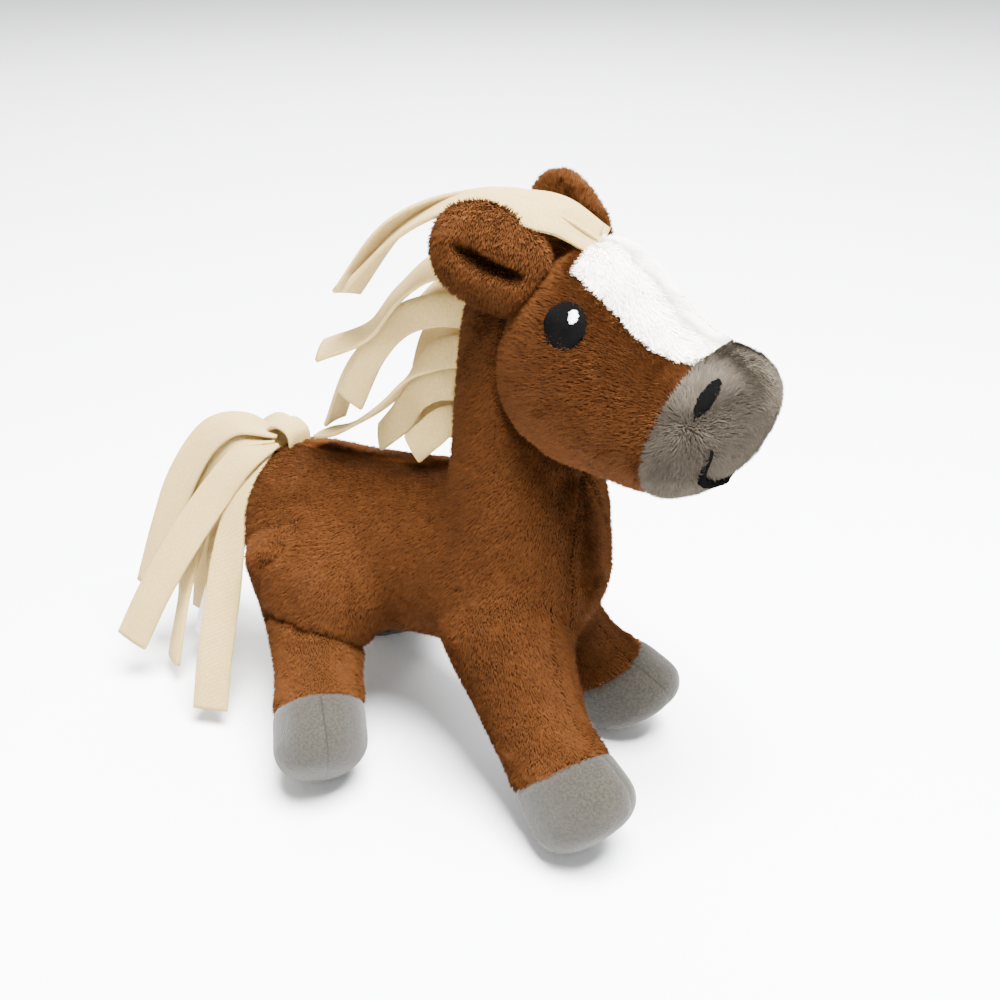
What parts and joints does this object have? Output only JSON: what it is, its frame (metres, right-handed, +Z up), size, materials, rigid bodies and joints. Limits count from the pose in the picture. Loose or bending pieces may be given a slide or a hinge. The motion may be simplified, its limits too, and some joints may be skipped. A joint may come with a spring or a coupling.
{
  "type": "plush horse",
  "caption": "Stuffed standing toy horse of plush panels over fibre filling, with knit hooves and a fleece-strip mane, forelock and tail.",
  "frame": {"origin": "centre of the toy's bounding box on the floor it stands on", "axes": "+X towards the nose, +Y towards the horse's left, +Z up"},
  "size_m": [0.2156, 0.1144, 0.1803],
  "materials": {
    "chestnut_plush": "short-pile plush",
    "white_plush": "longer-pile plush",
    "grey_plush": "longer-pile plush",
    "grey_knit": "fine brushed knit",
    "cream_fleece": "matte cut fleece",
    "black_thread": "satin-stitch embroidery",
    "white_thread": "satin-stitch embroidery",
    "label_satin": "bare satin tape",
    "fibre_filling": "loose polyester fibre"
  },
  "bodies": {
    "root": {"torso_filling": "fibre_filling", "neck_filling": "fibre_filling", "head_filling": "fibre_filling", "leg_filling_front_right": "fibre_filling", "leg_filling_front_left": "fibre_filling", "leg_filling_rear_right": "fibre_filling", "leg_filling_rear_left": "fibre_filling", "chest_gusset": "chestnut_plush", "body_panel_right": "chestnut_plush", "body_panel_left": "chestnut_plush", "head_panel_right": "chestnut_plush", "head_panel_left": "chestnut_plush", "ear_right": "chestnut_plush", "ear_left": "chestnut_plush", "leg_front_right": "chestnut_plush", "leg_front_left": "chestnut_plush", "leg_rear_right": "chestnut_plush", "leg_rear_left": "chestnut_plush", "muzzle_cover": "grey_plush", "blaze": "white_plush", "eye_right": "black_thread", "eye_left": "black_thread", "nostril_right": "black_thread", "nostril_left": "black_thread", "mouth": "black_thread", "eye_glint_right": "white_thread", "eye_glint_left": "white_thread", "hoof_front_right": "grey_knit", "hoof_front_left": "grey_knit", "hoof_rear_right": "grey_knit", "hoof_rear_left": "grey_knit", "sole_front_right": "grey_knit", "sole_front_left": "grey_knit", "sole_rear_right": "grey_knit", "sole_rear_left": "grey_knit", "mane_strip_1": "cream_fleece", "mane_strip_2": "cream_fleece", "mane_strip_3": "cream_fleece", "mane_strip_4": "cream_fleece", "mane_strip_5": "cream_fleece", "mane_strip_6": "cream_fleece", "mane_strip_7": "cream_fleece", "mane_strip_8": "cream_fleece", "forelock_strip_1": "cream_fleece", "forelock_strip_2": "cream_fleece", "tail_loop": "cream_fleece", "tail_strip_1": "cream_fleece", "tail_strip_2": "cream_fleece", "tail_strip_3": "cream_fleece", "tail_strip_4": "cream_fleece", "tail_strip_5": "cream_fleece", "tail_strip_6": "cream_fleece", "tail_strip_7": "cream_fleece", "care_label": "label_satin"}
  },
  "joints": []
}
